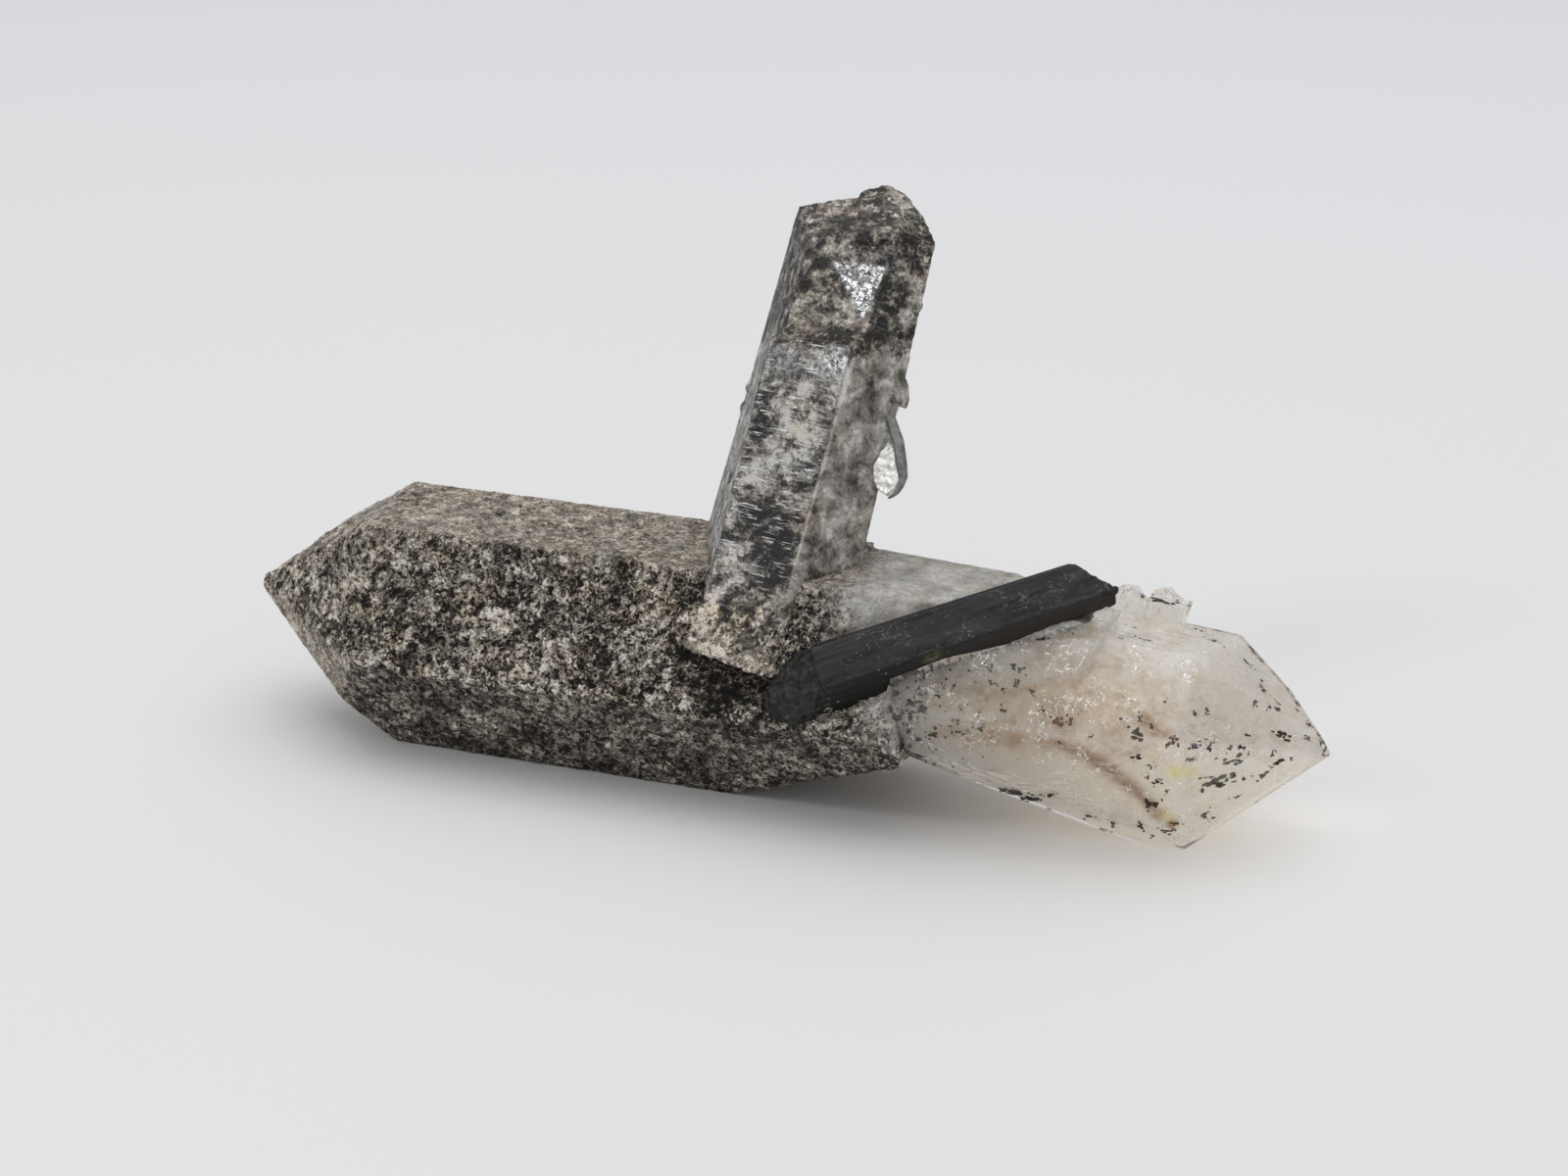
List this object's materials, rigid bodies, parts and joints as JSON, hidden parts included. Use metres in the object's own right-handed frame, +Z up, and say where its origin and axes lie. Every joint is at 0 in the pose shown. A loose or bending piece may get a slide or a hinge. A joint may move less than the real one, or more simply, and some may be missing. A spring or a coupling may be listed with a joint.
{
  "type": "double terminated quartz crystal specimen",
  "caption": "Long double terminated quartz crystal, half speckled and half clear, with a second crystal standing on it at a steep angle and a black rod set in its top.",
  "frame": {"origin": "middle of the specimen's own box, on the surface that it rests on", "axes": "+X along the long crystal towards its clear point, +Z up, -Y towards the front with the rod and the standing crystal's ledge"},
  "size_m": [0.0768, 0.0248, 0.0383],
  "materials": {
    "speckled_quartz": "granular grey and black crust, satin on the smoother faces",
    "black_tourmaline": "satin black, finely striated along its length"
  },
  "bodies": {
    "root": {"quartz_crystals": "speckled_quartz", "black_tourmaline_rod": "black_tourmaline"}
  },
  "joints": []
}
